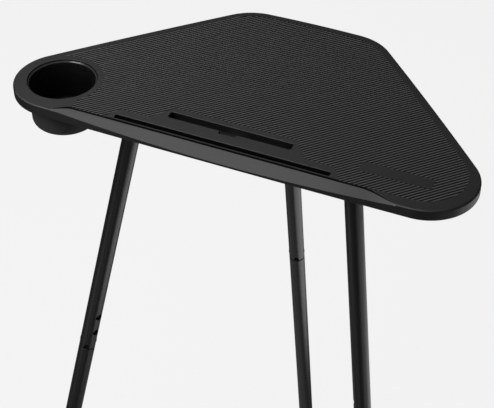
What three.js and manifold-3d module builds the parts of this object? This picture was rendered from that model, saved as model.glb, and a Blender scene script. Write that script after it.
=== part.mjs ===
// Three-legged desk that stands over a bicycle on an indoor trainer.
// Millimetres, +Z up. The wide edge of the tray, with the slots, faces -Y and the
// narrow edge faces +Y. The origin lies on the floor, under the middle of the desk.
import * as THREE from 'three';
import { mergeVertices } from 'three/addons/utils/BufferGeometryUtils.js';
import Module from 'manifold-3d';

const wasm = await Module();
wasm.setup();

// Whole desk
const deskHeight = 950;
const overrun = 2;
const seatGap = 0.3;

// Tray outline, between the sharp corners that the fillets round off
const frontWidth = 744;
const backWidth = 181;
const trayDepth = 307.6;
const frontCornerRadius = 60.7;
const backCornerRadius = 67.4;
const sideBow = 1.2;

// Tray section
const trayThickness = 14;
const edgeRounding = 2.2;
const skinThickness = 3.2;
const outerWall = 3.5;
const ribWidth = 2.6;
const ribPitch = 68;
const ribRecess = 2;

// Sloping strip along the wide edge
const bevelWidth = 14.6;
const bevelDrop = 9.4;
const bevelTip = 0.9;
const bevelStep = 1.2;
const bevelMiddleX = 12;
const bevelHalfLength = 228;
const bevelLeftTip = -223;
const bevelLeftSweep = 28;
const bevelRightTip = 219;
const bevelRightSweep = 46;
const frontBandWidth = 16.5;

// Slots for a tablet and a telephone
const slotCentreX = -2.5;
const slotDepth = 10;
const slotFloor = 2.5;
const slotWall = 3;
const slotCornerRadius = 2.6;
const tabletSlotLength = 274;
const tabletSlotWidth = 7.2;
const tabletSlotY = 21.2;
const phoneSlotLength = 157.4;
const phoneSlotWidth = 11.6;
const phoneSlotY = 50.4;
const cableNotchWidth = 21;
const cableNotchDepth = 5;
const cableNotchRadius = 2;

// Sunken grip field, and the smooth island round the slots
const gripDepth = 0.8;
const gripMargin = 10;
const gripFrontMargin = 15.8;
const gripLeftEnd = -196;
const islandTabletMargin = 10.8;
const islandPhoneMargin = 8.6;
const islandEndMargin = 1.5;
const islandSlantRun = 18;
const barePlateLength = 86;
const barePlateWidth = 18;
const barePlateX = 203;
const barePlateY = 50;

// Cup holder
const cupShiftX = -2;
const cupShiftY = 2.4;
const cupHoleRadius = 43.2;
const cupRingWidth = 7.8;
const cupCollarWall = 10;
const cupWall = 2.5;
const cupLipDrop = 3.5;
const cupDepth = 60;
const cupBottomRounding = 9;
const cupTaper = 0.8;
const cupFlangeRadius = 52.5;
const cupFlangeThickness = 2.6;
const cupScrewCount = 3;
const cupScrewCircleRadius = 48;

// Legs: where each centre line meets the level of the tray's top, and its sideways
// run as a share of its fall
const frontLegInset = 97.8;
const frontLegY = 82;
const frontLegOutwardShare = 0.17;
const frontLegForwardShare = 0.196;
const rearLegInset = 96.7;
const rearLegShare = 0.157;
const frontJointDistance = 410;
const rearJointDistance = 378;
const leftHoleDegrees = -18;
const rightHoleDegrees = 198;
const rearHoleDegrees = 162;

// Leg tubes
const tubeRadius = 11.1;
const tubeWall = 1.5;
const sliderRadius = 8.2;
const sliderWall = 1.2;
const sliderRise = 81.3;
const sliderSeat = 55;

// Height holes and snap buttons
const firstHoleRise = 29.3;
const holePitch = 27;
const buttonRadius = 3.8;
const buttonClearance = 0.4;
const buttonDomeRise = 1.4;
const buttonStemLength = 6.3;
const buttonCollarRadius = 4.5;
const buttonCollarThickness = 1.2;
const clipThickness = 0.8;
const clipWidth = 6;
const clipLength = 36;

// Bush between the upper and the lower tube
const bushFlangeHeight = 1.6;
const bushSleeveHeight = 17;
const bushLugRadius = 2.4;
const bushLugRise = 10.5;
const bushLugProud = 0.35;
const bushLugDegrees = 40;
const rimNotchRadius = 3.6;
const rimNotchRise = 3;
const rimNotchDegrees = -52;

// Guide cap on top of the slider
const guideHeight = 5;
const guideStemLength = 12;

// Leg sockets under the tray
const socketFlangeLength = 66;
const socketFlangeWidth = 52;
const socketFlangeThickness = 4;
const socketFlangeRadius = 8;
const socketBarrelRadius = 16;
const socketMouthDistance = 64;
const socketShoulderDistance = 31;
const socketGussetThickness = 3.5;
const socketGussetReach = 9;
const nutRadius = 8;
const nutLength = 11;
const studRadius = 4;
const studLength = 32;
const plugLength = 20;
const plugChamfer = 1;

// Wood-style screws that hold the sockets and the cup holder
const screwHeadRadius = 4;
const screwHeadHeight = 2.4;
const screwShankRadius = 1.9;
const screwShankLength = 11;
const screwHoleClearance = 0.3;
const screwEdgeDistance = 8;
const screwSlotDepth = 1.2;
const screwSlotWidth = 1.2;

// Rubber feet
const footRadius = 13.8;
const footHeight = 34;
const footSole = 8;
const footRounding = 2.5;

// Number of flats round each turned shape
const tubeSides = 28;
const innerSides = 20;
const smallSides = 12;
const cupSides = 36;
const cornerSteps = 10;
const roundingSteps = 3;
const cupRoundingSteps = 4;
const bowSteps = 6;
const bevelSteps = 22;

const fullTurn = 360;
const trayBottom = -trayThickness;
const rearLegY = trayDepth - rearLegInset;
const tubeBoreRadius = tubeRadius - tubeWall;

// Materials
const plasticMaterial = new THREE.MeshStandardMaterial({ color: 0x2b2c2e, roughness: 0.55 });
const cupMaterial = new THREE.MeshStandardMaterial({ color: 0x1c1d1e, roughness: 0.4 });
const tubeMaterial = new THREE.MeshStandardMaterial({ color: 0x26272a, roughness: 0.42, metalness: 0.35 });
const steelMaterial = new THREE.MeshStandardMaterial({ color: 0x8d9095, roughness: 0.35, metalness: 1 });
const blackSteelMaterial = new THREE.MeshStandardMaterial({ color: 0x17181a, roughness: 0.4, metalness: 0.6 });
const nylonMaterial = new THREE.MeshStandardMaterial({ color: 0x18191b, roughness: 0.6 });
const brassMaterial = new THREE.MeshStandardMaterial({ color: 0xb08d4a, roughness: 0.35, metalness: 1 });
const rubberMaterial = new THREE.MeshStandardMaterial({ color: 0x141415, roughness: 0.85 });

// Solids from closed meshes, and back
function solidFrom(geometry) {
  const bare = geometry.clone();
  bare.deleteAttribute('normal');
  bare.deleteAttribute('uv');
  const merged = mergeVertices(bare);
  return new wasm.Manifold(new wasm.Mesh({
    numProp: 3,
    vertProperties: new Float32Array(merged.attributes.position.array),
    triVerts: new Uint32Array(merged.index.array),
  }));
}

function geometryFrom(solid) {
  const mesh = solid.getMesh();
  const geometry = new THREE.BufferGeometry();
  geometry.setAttribute('position', new THREE.BufferAttribute(new Float32Array(mesh.vertProperties), 3));
  geometry.setIndex(new THREE.BufferAttribute(new Uint32Array(mesh.triVerts), 1));
  geometry.computeVertexNormals();
  return geometry;
}

function joined(solids) {
  return solids.reduce((whole, solid) => whole.add(solid));
}

// Turned shapes: each point is [radius, height] and the axis is Z
function turned(points, sides) {
  const profile = points.map(([radius, height]) => new THREE.Vector2(radius, height));
  return new THREE.LatheGeometry(profile, sides).rotateX(Math.PI / 2);
}

function rod(radius, low, high, sides) {
  return turned([[0, low], [radius, low], [radius, high], [0, high]], sides);
}

function pipe(outer, inner, low, high, sides) {
  return turned([[inner, low], [outer, low], [outer, high], [inner, high], [inner, low]], sides);
}

// A rod that lies along +X from one distance off the axis to another, at a height
function crossRod(radius, near, far, height, degrees, sides) {
  return rod(radius, near, far, sides)
    .rotateY(Math.PI / 2)
    .rotateZ(THREE.MathUtils.degToRad(degrees))
    .translate(0, 0, height);
}

function block(sizeX, sizeY, low, high, centreX, centreY) {
  return new THREE.BoxGeometry(sizeX, sizeY, high - low).translate(centreX, centreY, (low + high) / 2);
}

function slab(outline, low, high) {
  const settings = { depth: high - low, bevelEnabled: false };
  return new THREE.ExtrudeGeometry(outline, settings).translate(0, 0, low);
}

// Where the round of each corner of a polygon starts and ends, and its centre
function cornerRounds(corners, radii) {
  const count = corners.length;
  return corners.map((corner, index) => {
    const before = corners[(index + count - 1) % count].clone().sub(corner).normalize();
    const after = corners[(index + 1) % count].clone().sub(corner).normalize();
    const halfAngle = Math.acos(before.dot(after)) / 2;
    const reach = radii[index] / Math.tan(halfAngle);
    const inwards = before.clone().add(after).normalize();
    return {
      start: corner.clone().addScaledVector(before, reach),
      end: corner.clone().addScaledVector(after, reach),
      centre: corner.clone().addScaledVector(inwards, radii[index] / Math.sin(halfAngle)),
    };
  });
}

// Closed outline whose corners are rounded and whose sides bow outwards a little
function roundedOutline(corners, radii, bow, cornerParts, bowParts) {
  const rounds = cornerRounds(corners, radii);
  const points = rounds.flatMap(({ start, end, centre }, index) => {
    const radius = radii[index];
    const from = start.clone().sub(centre).angle();
    const to = end.clone().sub(centre).angle();
    const corner = new THREE.EllipseCurve(centre.x, centre.y, radius, radius, from, to, false);
    const next = rounds[(index + 1) % rounds.length].start;
    const along = next.clone().sub(end).normalize();
    const outwards = new THREE.Vector2(along.y, -along.x);
    const control = end.clone().lerp(next, 1 / 2).addScaledVector(outwards, 2 * bow);
    const side = new THREE.QuadraticBezierCurve(end, control, next);
    return [...corner.getPoints(cornerParts), ...side.getPoints(bowParts).slice(1, -1)];
  });
  return new THREE.Shape(points);
}

// Corners of the same polygon after each side has moved inwards by its own distance
function insetCorners(corners, insets) {
  const count = corners.length;
  const sides = corners.map((corner, index) => {
    const along = corners[(index + 1) % count].clone().sub(corner).normalize();
    const inwards = new THREE.Vector2(-along.y, along.x);
    return { point: corner.clone().addScaledVector(inwards, insets[index]), along };
  });
  return sides.map((side, index) => {
    const previous = sides[(index + count - 1) % count];
    const offset = side.point.clone().sub(previous.point);
    const share = offset.cross(side.along) / previous.along.cross(side.along);
    return previous.point.clone().addScaledVector(previous.along, share);
  });
}

function roundedBar(length, width, radius, centreX, centreY) {
  const halfLength = length / 2;
  const halfWidth = width / 2;
  const corners = [
    new THREE.Vector2(centreX - halfLength, centreY - halfWidth),
    new THREE.Vector2(centreX + halfLength, centreY - halfWidth),
    new THREE.Vector2(centreX + halfLength, centreY + halfWidth),
    new THREE.Vector2(centreX - halfLength, centreY + halfWidth),
  ];
  return roundedOutline(corners, corners.map(() => radius), 0, roundingSteps, 1);
}

// Tray, drawn with its top at height zero and its wide edge along Y = 0
const trayCorners = [
  new THREE.Vector2(-frontWidth / 2, 0),
  new THREE.Vector2(frontWidth / 2, 0),
  new THREE.Vector2(backWidth / 2, trayDepth),
  new THREE.Vector2(-backWidth / 2, trayDepth),
];
const cornerRadii = [frontCornerRadius, frontCornerRadius, backCornerRadius, backCornerRadius];

// The cup stands in the round of the front left corner, and the front legs are set in
// from the rounds of both front corners
const frontLeftCentre = cornerRounds(trayCorners, cornerRadii)[0].centre;
const cupCentre = frontLeftCentre.clone().add(new THREE.Vector2(cupShiftX, cupShiftY));
const frontLegX = -frontLeftCentre.x - frontLegInset;

function insetTrayOutline(sideInset, frontInset) {
  const corners = insetCorners(trayCorners, [frontInset, sideInset, sideInset, sideInset]);
  const radii = cornerRadii.map((radius) => radius - sideInset);
  return roundedOutline(corners, radii, sideBow, cornerSteps, bowSteps);
}

// The strip is a lens below a small step: its upper edge sweeps out to the tray's edge at both tips
function bevelTopEdge(x) {
  const left = THREE.MathUtils.smoothstep(x, bevelLeftTip, bevelLeftTip + bevelLeftSweep);
  const right = THREE.MathUtils.smoothstep(x, bevelRightTip - bevelRightSweep, bevelRightTip);
  return bevelTip + (bevelWidth - bevelTip) * left * (1 - right);
}

function bevelDropAt(x) {
  const share = (x - bevelMiddleX) / bevelHalfLength;
  return Math.max(bevelTip, bevelDrop * (1 - share * share));
}

function bevelCutter() {
  const positions = [];
  for (let step = 0; step <= bevelSteps; step += 1) {
    const x = THREE.MathUtils.lerp(bevelLeftTip, bevelRightTip, step / bevelSteps);
    const topEdge = bevelTopEdge(x);
    const stepDrop = bevelStep * (topEdge - bevelTip) / (bevelWidth - bevelTip);
    const outside = -sideBow - overrun;
    const slopeEnd = -stepDrop - (bevelDropAt(x) - stepDrop) * (topEdge - outside) / topEdge;
    positions.push(x, topEdge, -stepDrop, x, outside, slopeEnd, x, outside, overrun, x, topEdge, overrun);
  }
  const indices = [];
  const ring = 4;
  for (let step = 0; step < bevelSteps; step += 1) {
    for (let side = 0; side < ring; side += 1) {
      const a = step * ring + side;
      const b = step * ring + (side + 1) % ring;
      indices.push(a, a + ring, b, b, a + ring, b + ring);
    }
  }
  const last = bevelSteps * ring;
  indices.push(0, 1, 2, 0, 2, 3);
  indices.push(last, last + 2, last + 1, last, last + 3, last + 2);
  const geometry = new THREE.BufferGeometry();
  geometry.setAttribute('position', new THREE.Float32BufferAttribute(positions, 3));
  geometry.setIndex(indices);
  return solidFrom(geometry);
}

function gripField() {
  const field = solidFrom(slab(insetTrayOutline(gripMargin, gripFrontMargin), -gripDepth, overrun));
  const ring = solidFrom(rod(cupHoleRadius + cupRingWidth, -gripDepth - overrun, overrun + overrun, cupSides)
    .translate(cupCentre.x, cupCentre.y, 0));
  const tabletHalf = tabletSlotLength / 2 + islandEndMargin;
  const phoneHalf = phoneSlotLength / 2;
  const tabletLine = tabletSlotY + tabletSlotWidth / 2 + islandTabletMargin;
  const phoneLine = phoneSlotY + phoneSlotWidth / 2 + islandPhoneMargin;
  const island = new THREE.Shape([
    new THREE.Vector2(slotCentreX - tabletHalf - islandSlantRun, 0),
    new THREE.Vector2(slotCentreX + tabletHalf + islandSlantRun, 0),
    new THREE.Vector2(slotCentreX + tabletHalf, tabletLine),
    new THREE.Vector2(slotCentreX + phoneHalf + islandSlantRun, tabletLine),
    new THREE.Vector2(slotCentreX + phoneHalf, phoneLine),
    new THREE.Vector2(slotCentreX - phoneHalf, phoneLine),
    new THREE.Vector2(slotCentreX - phoneHalf - islandSlantRun, tabletLine),
    new THREE.Vector2(slotCentreX - tabletHalf, tabletLine),
  ]);
  const islandSolid = solidFrom(slab(island, -gripDepth - overrun, overrun + overrun));
  const low = -gripDepth - overrun;
  const high = overrun + overrun;
  const plate = solidFrom(block(barePlateLength, barePlateWidth, low, high, barePlateX, barePlateY));
  const endLength = gripLeftEnd - cupCentre.x;
  const leftEnd = solidFrom(block(
    endLength,
    cupCentre.y,
    low,
    high,
    cupCentre.x + endLength / 2,
    cupCentre.y / 2,
  ));
  return field.subtract(ring).subtract(islandSolid).subtract(plate).subtract(leftEnd);
}

function slotCutters() {
  const notchY = phoneSlotY - phoneSlotWidth / 2;
  const notch = roundedBar(cableNotchWidth, cableNotchDepth + cableNotchDepth, cableNotchRadius, slotCentreX, notchY);
  const tablet = roundedBar(tabletSlotLength, tabletSlotWidth, slotCornerRadius, slotCentreX, tabletSlotY);
  const phone = roundedBar(phoneSlotLength, phoneSlotWidth, slotCornerRadius, slotCentreX, phoneSlotY);
  return joined([tablet, phone, notch].map((outline) => solidFrom(slab(outline, -slotDepth, overrun))));
}

function slotTroughs() {
  const low = -slotDepth - slotFloor;
  const high = -skinThickness / 2;
  const margin = slotWall + slotWall;
  const tablet = block(tabletSlotLength + margin, tabletSlotWidth + margin, low, high, slotCentreX, tabletSlotY);
  const phone = block(phoneSlotLength + margin, phoneSlotWidth + margin, low, high, slotCentreX, phoneSlotY);
  const notchY = phoneSlotY - phoneSlotWidth / 2;
  const notchLength = cableNotchDepth + cableNotchDepth + margin;
  const notch = block(cableNotchWidth + margin, notchLength, low, high, slotCentreX, notchY);
  return [tablet, phone, notch].map(solidFrom);
}

function ribGrid() {
  const low = trayBottom + ribRecess;
  const high = -skinThickness / 2;
  const ribs = [];
  const halfColumns = Math.floor(frontWidth / 2 / ribPitch);
  for (let column = -halfColumns; column <= halfColumns; column += 1) {
    ribs.push(block(ribWidth, trayDepth, low, high, column * ribPitch, trayDepth / 2));
  }
  for (let y = ribPitch; y < trayDepth; y += ribPitch) {
    ribs.push(block(frontWidth, ribWidth, low, high, 0, y));
  }
  return ribs.map(solidFrom);
}

// Where a leg's centre line passes a level below the tray's top
function legPointAt(leg, depth) {
  return new THREE.Vector2(leg.x + leg.leanX * depth, leg.y + leg.leanY * depth);
}

const legs = [
  {
    name: 'left',
    x: -frontLegX,
    y: frontLegY,
    leanX: -frontLegOutwardShare,
    leanY: -frontLegForwardShare,
    joint: frontJointDistance,
    holeDegrees: leftHoleDegrees,
  },
  {
    name: 'right',
    x: frontLegX,
    y: frontLegY,
    leanX: frontLegOutwardShare,
    leanY: -frontLegForwardShare,
    joint: frontJointDistance,
    holeDegrees: rightHoleDegrees,
  },
  {
    name: 'rear',
    x: 0,
    y: rearLegY,
    leanX: 0,
    leanY: rearLegShare,
    joint: rearJointDistance,
    holeDegrees: rearHoleDegrees,
  },
];

const flangeTop = trayBottom - seatGap;
const flangeBottom = flangeTop - socketFlangeThickness;

function flangeCentre(leg) {
  return legPointAt(leg, -flangeTop);
}

function flangeScrewPlaces(leg) {
  const centre = flangeCentre(leg);
  const reachX = socketFlangeLength / 2 - screwEdgeDistance;
  const reachY = socketFlangeWidth / 2 - screwEdgeDistance;
  return [[-1, -1], [1, -1], [1, 1], [-1, 1]].map(([signX, signY]) => ({
    x: centre.x + signX * reachX,
    y: centre.y + signY * reachY,
  }));
}

function cupScrewPlaces() {
  const places = [];
  for (let index = 0; index < cupScrewCount; index += 1) {
    const angle = THREE.MathUtils.degToRad((index + 1 / 2) * fullTurn / cupScrewCount);
    places.push({
      x: cupCentre.x + cupScrewCircleRadius * Math.cos(angle),
      y: cupCentre.y + cupScrewCircleRadius * Math.sin(angle),
    });
  }
  return places;
}

function socketPads() {
  const margin = slotWall + slotWall;
  return legs.map((leg) => {
    const { x, y } = flangeCentre(leg);
    const length = socketFlangeLength + margin;
    const width = socketFlangeWidth + margin;
    return solidFrom(block(length, width, trayBottom - overrun, -skinThickness / 2, x, y));
  });
}

function pilotHoles() {
  const radius = screwShankRadius + screwHoleClearance;
  const top = trayBottom + screwShankLength - socketFlangeThickness + seatGap;
  const cupTop = trayBottom + screwShankLength - cupFlangeThickness + seatGap;
  const socketHoles = legs.flatMap(flangeScrewPlaces)
    .map(({ x, y }) => rod(radius, trayBottom - overrun, top, smallSides).translate(x, y, 0));
  const cupHoles = cupScrewPlaces()
    .map(({ x, y }) => rod(radius, trayBottom - overrun, cupTop, smallSides).translate(x, y, 0));
  return joined([...socketHoles, ...cupHoles].map(solidFrom));
}

function traySolid() {
  const shell = new THREE.ExtrudeGeometry(insetTrayOutline(0, 0), {
    depth: trayThickness - edgeRounding - edgeRounding,
    bevelEnabled: true,
    bevelThickness: edgeRounding,
    bevelSize: edgeRounding,
    bevelOffset: -edgeRounding,
    bevelSegments: roundingSteps,
  }).translate(0, 0, trayBottom + edgeRounding);
  const hollowOutline = insetTrayOutline(outerWall, frontBandWidth);
  const hollow = solidFrom(slab(hollowOutline, trayBottom - overrun, -skinThickness));
  const collar = solidFrom(rod(cupHoleRadius + cupCollarWall, trayBottom - overrun, -skinThickness / 2, cupSides)
    .translate(cupCentre.x, cupCentre.y, 0));
  const kept = joined([...ribGrid(), ...slotTroughs(), ...socketPads(), collar]);
  const cupHole = solidFrom(rod(cupHoleRadius, trayBottom - overrun, overrun, cupSides)
    .translate(cupCentre.x, cupCentre.y, 0));
  return solidFrom(shell)
    .subtract(hollow.subtract(kept))
    .subtract(slotCutters())
    .subtract(cupHole)
    .subtract(gripField())
    .subtract(bevelCutter())
    .subtract(pilotHoles());
}

// Cup holder: a cup with a flange that is screwed up against the tray's collar
function cupHolderSolid() {
  const outer = cupHoleRadius - seatGap;
  const inner = outer - cupWall;
  const floorOuter = outer - cupTaper;
  const lip = -cupLipDrop;
  const bottom = -cupDepth;
  const innerBottom = bottom + cupWall;
  const profile = [[0, bottom]];
  const innerRounding = cupBottomRounding - cupWall;
  for (let step = 0; step <= cupRoundingSteps; step += 1) {
    const angle = Math.PI / 2 * step / cupRoundingSteps;
    profile.push([
      floorOuter - cupBottomRounding + cupBottomRounding * Math.sin(angle),
      bottom + cupBottomRounding - cupBottomRounding * Math.cos(angle),
    ]);
  }
  profile.push([outer, flangeTop - cupFlangeThickness]);
  profile.push([cupFlangeRadius, flangeTop - cupFlangeThickness]);
  profile.push([cupFlangeRadius, flangeTop]);
  profile.push([outer, flangeTop]);
  for (let step = 0; step <= roundingSteps; step += 1) {
    const angle = Math.PI * step / roundingSteps;
    const middle = (outer + inner) / 2;
    profile.push([middle + cupWall / 2 * Math.cos(angle), lip - cupWall / 2 + cupWall / 2 * Math.sin(angle)]);
  }
  for (let step = cupRoundingSteps; step >= 0; step -= 1) {
    const angle = Math.PI / 2 * step / cupRoundingSteps;
    profile.push([
      floorOuter - cupBottomRounding + innerRounding * Math.sin(angle),
      innerBottom + innerRounding - innerRounding * Math.cos(angle),
    ]);
  }
  profile.push([0, innerBottom]);
  const cup = solidFrom(turned(profile, cupSides).translate(cupCentre.x, cupCentre.y, 0));
  const holes = cupScrewPlaces().map(({ x, y }) => rod(
    screwShankRadius + screwHoleClearance,
    flangeTop - cupFlangeThickness - overrun,
    flangeTop + overrun,
    smallSides,
  ).translate(x, y, 0));
  return cup.subtract(joined(holes.map(solidFrom)));
}

// One slotted screw with its head down, its head's bearing face at the given height
function screwSolid(x, y, seatHeight) {
  const bearing = seatHeight - seatGap;
  const headBottom = bearing - screwHeadHeight;
  const tip = seatHeight + screwShankLength;
  const body = turned([
    [0, headBottom],
    [screwHeadRadius, headBottom],
    [screwHeadRadius, bearing],
    [screwShankRadius, bearing],
    [screwShankRadius, tip - screwShankRadius],
    [0, tip],
  ], smallSides).translate(x, y, 0);
  const slotLength = screwHeadRadius + screwHeadRadius + overrun;
  const slot = block(slotLength, screwSlotWidth, headBottom - overrun, headBottom + screwSlotDepth, x, y);
  return solidFrom(body).subtract(solidFrom(slot));
}

// Leg frame: origin on the centre line at the level of the tray's top, Z up the leg,
// X towards the side with the height holes. Distances down the leg are negative Z.
function legMatrix(leg) {
  const up = new THREE.Vector3(-leg.leanX, -leg.leanY, 1).normalize();
  const turn = THREE.MathUtils.degToRad(leg.holeDegrees);
  const holeSide = new THREE.Vector3(Math.cos(turn), Math.sin(turn), 0);
  const across = new THREE.Vector3().crossVectors(up, holeSide).normalize();
  const towardsHoles = new THREE.Vector3().crossVectors(across, up);
  return new THREE.Matrix4()
    .makeBasis(towardsHoles, across, up)
    .setPosition(leg.x, leg.y, 0);
}

function legStretch(leg) {
  return Math.hypot(leg.leanX, leg.leanY, 1);
}

// Socket: a flange under the tray with a slanted barrel that takes the leg's top end
function socketSolid(leg) {
  const matrix = legMatrix(leg);
  const centre = flangeCentre(leg);
  const flangeOutline = roundedBar(socketFlangeLength, socketFlangeWidth, socketFlangeRadius, centre.x, centre.y);
  const flange = solidFrom(slab(flangeOutline, flangeBottom, flangeTop));
  const barrel = solidFrom(rod(socketBarrelRadius, -socketMouthDistance, 0, tubeSides).applyMatrix4(matrix));
  const gussetSpan = socketBarrelRadius + socketGussetReach;
  const gussets = [0, fullTurn / 4, fullTurn / 2, fullTurn * 3 / 4].map((degrees) => {
    const side = new THREE.Shape([
      new THREE.Vector2(0, flangeBottom + seatGap),
      new THREE.Vector2(0, flangeBottom - gussetSpan),
      new THREE.Vector2(socketBarrelRadius, flangeBottom - gussetSpan),
      new THREE.Vector2(gussetSpan, flangeBottom + seatGap),
    ]);
    const fin = new THREE.ExtrudeGeometry(side, { depth: socketGussetThickness, bevelEnabled: false })
      .translate(0, 0, -socketGussetThickness / 2)
      .rotateX(Math.PI / 2)
      .rotateZ(THREE.MathUtils.degToRad(degrees))
      .translate(centre.x, centre.y, 0);
    return solidFrom(fin);
  });
  const aboveFlange = solidFrom(block(frontWidth, trayDepth, flangeTop, -flangeTop, centre.x, centre.y));
  const bore = rod(tubeRadius + seatGap, -socketMouthDistance - overrun, -socketShoulderDistance, tubeSides);
  const nutTop = -socketShoulderDistance + nutLength;
  const nutBore = rod(nutRadius + seatGap, -socketShoulderDistance - overrun, nutTop, innerSides);
  const screwHoles = flangeScrewPlaces(leg).map(({ x, y }) => rod(
    screwShankRadius + screwHoleClearance,
    flangeBottom - overrun,
    flangeTop + overrun,
    smallSides,
  ).translate(x, y, 0));
  return joined([flange, barrel, ...gussets])
    .subtract(aboveFlange)
    .subtract(solidFrom(bore.applyMatrix4(matrix)))
    .subtract(solidFrom(nutBore.applyMatrix4(matrix)))
    .subtract(joined(screwHoles.map(solidFrom)));
}

// Pieces of one leg, drawn in the leg's own frame
function nutSolid() {
  const low = -socketShoulderDistance;
  const high = low + nutLength - seatGap;
  return solidFrom(pipe(nutRadius, studRadius + seatGap, low, high, innerSides));
}

function studSolid() {
  const high = -socketShoulderDistance + nutLength - seatGap - seatGap;
  return solidFrom(rod(studRadius, high - studLength, high, smallSides));
}

function plugSolid() {
  const high = -socketShoulderDistance - seatGap;
  const low = high - plugLength;
  const radius = tubeBoreRadius - seatGap;
  const bore = studRadius + seatGap;
  return solidFrom(turned([
    [bore, low],
    [radius - plugChamfer, low],
    [radius, low + plugChamfer],
    [radius, high],
    [bore, high],
    [bore, low],
  ], innerSides));
}

function bushTop(leg) {
  return -leg.joint + bushFlangeHeight / 2;
}

function bushBottom(leg) {
  return -leg.joint - bushFlangeHeight / 2;
}

function upperTubeSolid(leg) {
  const rim = bushTop(leg) + seatGap;
  const tube = solidFrom(pipe(tubeRadius, tubeBoreRadius, rim, -socketShoulderDistance - seatGap, tubeSides));
  const near = 0;
  const far = tubeRadius + overrun;
  const holeRadius = buttonRadius + buttonClearance;
  const lowHole = -leg.joint + firstHoleRise;
  const cuts = [
    crossRod(holeRadius, near, far, lowHole, 0, smallSides),
    crossRod(holeRadius, near, far, lowHole + holePitch, 0, smallSides),
    crossRod(bushLugRadius + seatGap, near, far, -leg.joint + bushLugRise, bushLugDegrees, smallSides),
    crossRod(bushLugRadius + seatGap, near, far, -leg.joint + bushLugRise, bushLugDegrees + fullTurn / 2, smallSides),
    crossRod(rimNotchRadius, near, far, rim, rimNotchDegrees, smallSides),
    crossRod(rimNotchRadius, near, far, rim + rimNotchRise, rimNotchDegrees, smallSides),
    crossRod(rimNotchRadius, near, far, rim, rimNotchDegrees + fullTurn / 2, smallSides),
    crossRod(rimNotchRadius, near, far, rim + rimNotchRise, rimNotchDegrees + fullTurn / 2, smallSides),
  ];
  return tube.subtract(joined(cuts.map(solidFrom)));
}

function bushSolid(leg) {
  const bore = sliderRadius + seatGap;
  const sleeve = tubeBoreRadius - seatGap;
  const top = bushTop(leg);
  const bottom = bushBottom(leg);
  const body = solidFrom(turned([
    [bore, bottom],
    [tubeRadius, bottom],
    [tubeRadius, top],
    [sleeve, top],
    [sleeve, top + bushSleeveHeight],
    [bore, top + bushSleeveHeight],
    [bore, bottom],
  ], tubeSides));
  const lugs = [bushLugDegrees, bushLugDegrees + fullTurn / 2].map((degrees) => solidFrom(crossRod(
    bushLugRadius,
    (bore + sleeve) / 2,
    tubeRadius + bushLugProud,
    -leg.joint + bushLugRise,
    degrees,
    smallSides,
  )));
  return joined([body, ...lugs]);
}

function footBottomDistance(leg) {
  return deskHeight * legStretch(leg);
}

function lowerTubeSolid(leg) {
  const low = -footBottomDistance(leg) + footSole + seatGap;
  return solidFrom(pipe(tubeRadius, tubeBoreRadius, low, bushBottom(leg) - seatGap, tubeSides));
}

function reducingSleeveSolid(leg) {
  const high = bushBottom(leg) - seatGap;
  const low = -leg.joint - sliderSeat;
  return solidFrom(pipe(tubeBoreRadius - seatGap, sliderRadius + seatGap, low, high, innerSides));
}

function sliderSolid(leg) {
  const low = -leg.joint - sliderSeat;
  const high = -leg.joint + sliderRise;
  const tube = solidFrom(pipe(sliderRadius, sliderRadius - sliderWall, low, high, innerSides));
  const holeRadius = buttonRadius + seatGap;
  const height = -leg.joint + firstHoleRise + holePitch;
  return tube.subtract(solidFrom(crossRod(holeRadius, 0, sliderRadius + overrun, height, 0, smallSides)));
}

function sliderGuideSolid(leg) {
  const seat = -leg.joint + sliderRise + seatGap;
  const stem = sliderRadius - sliderWall - seatGap;
  return solidFrom(turned([
    [0, seat - guideStemLength],
    [stem, seat - guideStemLength],
    [stem, seat],
    [tubeBoreRadius - seatGap, seat],
    [tubeBoreRadius - seatGap, seat + guideHeight],
    [0, seat + guideHeight],
  ], innerSides));
}

// Snap button, drawn pressed in so far that it just clears the bore of the tube
function snapButtonSolid(leg) {
  const tip = tubeBoreRadius - seatGap;
  const shoulder = tip - buttonDomeRise;
  const base = tip - buttonStemLength;
  const collarBase = base - buttonCollarThickness;
  const dome = [];
  for (let step = 0; step <= roundingSteps; step += 1) {
    const angle = Math.PI / 2 * step / roundingSteps;
    dome.push([buttonRadius * Math.cos(angle), shoulder + buttonDomeRise * Math.sin(angle)]);
  }
  const button = turned([
    [0, collarBase],
    [buttonCollarRadius, collarBase],
    [buttonCollarRadius, base],
    [buttonRadius, base],
    ...dome.slice(0, roundingSteps),
    [0, tip],
  ], innerSides);
  return solidFrom(button
    .rotateY(Math.PI / 2)
    .translate(0, 0, -leg.joint + firstHoleRise + holePitch));
}

// Spring clip behind the button: a leaf folded into a long U inside the slider
function springClipSolid(leg) {
  const front = tubeBoreRadius - seatGap - buttonStemLength - buttonCollarThickness - seatGap;
  const bore = sliderRadius - sliderWall - seatGap;
  const back = -Math.sqrt(bore * bore - clipWidth * clipWidth / 4);
  const bendRadius = (front - back) / 2;
  const bendX = (front + back) / 2;
  const top = buttonCollarRadius;
  const bend = top - clipLength;
  const leaf = new THREE.Shape();
  leaf.moveTo(front, top);
  leaf.lineTo(front - clipThickness, top);
  leaf.lineTo(front - clipThickness, bend);
  leaf.absarc(bendX, bend, bendRadius - clipThickness, 0, -Math.PI, true);
  leaf.lineTo(back + clipThickness, top);
  leaf.lineTo(back, top);
  leaf.lineTo(back, bend);
  leaf.absarc(bendX, bend, bendRadius, -Math.PI, 0, false);
  leaf.lineTo(front, top);
  const height = -leg.joint + firstHoleRise + holePitch;
  const settings = { depth: clipWidth, bevelEnabled: false, curveSegments: innerSides / 4 };
  return solidFrom(new THREE.ExtrudeGeometry(leaf, settings)
    .translate(0, 0, -clipWidth / 2)
    .rotateX(Math.PI / 2)
    .translate(0, 0, height));
}

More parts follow.
